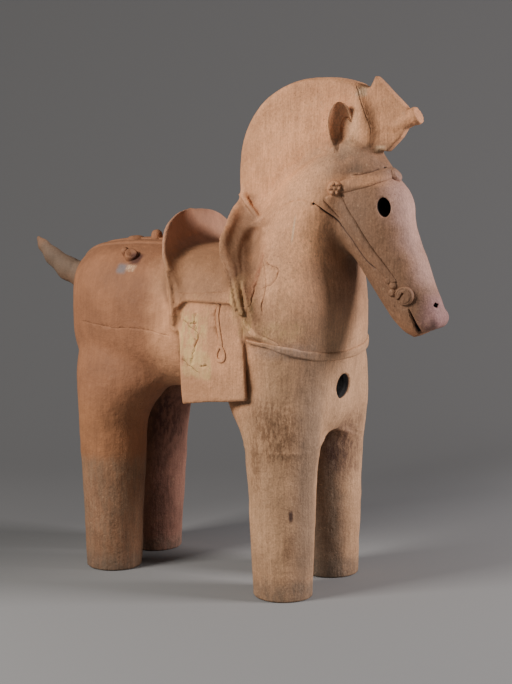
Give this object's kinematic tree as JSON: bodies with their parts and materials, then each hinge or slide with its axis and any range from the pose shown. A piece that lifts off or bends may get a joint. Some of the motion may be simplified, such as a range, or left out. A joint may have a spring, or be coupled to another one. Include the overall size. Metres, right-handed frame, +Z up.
{
  "type": "haniwa horse",
  "caption": "Hollow earthenware tomb figure of a standing horse with plate-like mane, arched saddle boards, flaps, bridle and tube legs open underneath.",
  "frame": {"origin": "on the floor under the middle of the horse's box, in its plane of symmetry", "axes": "+X towards the head, +Y to the horse's left, +Z up"},
  "size_m": [1.1403, 0.4122, 1.203],
  "materials": {
    "terracotta": "matt unglazed low-fired clay, warm buff to brown, scratched and weathered"
  },
  "bodies": {
    "root": {"haniwa_horse": "terracotta"}
  },
  "joints": []
}
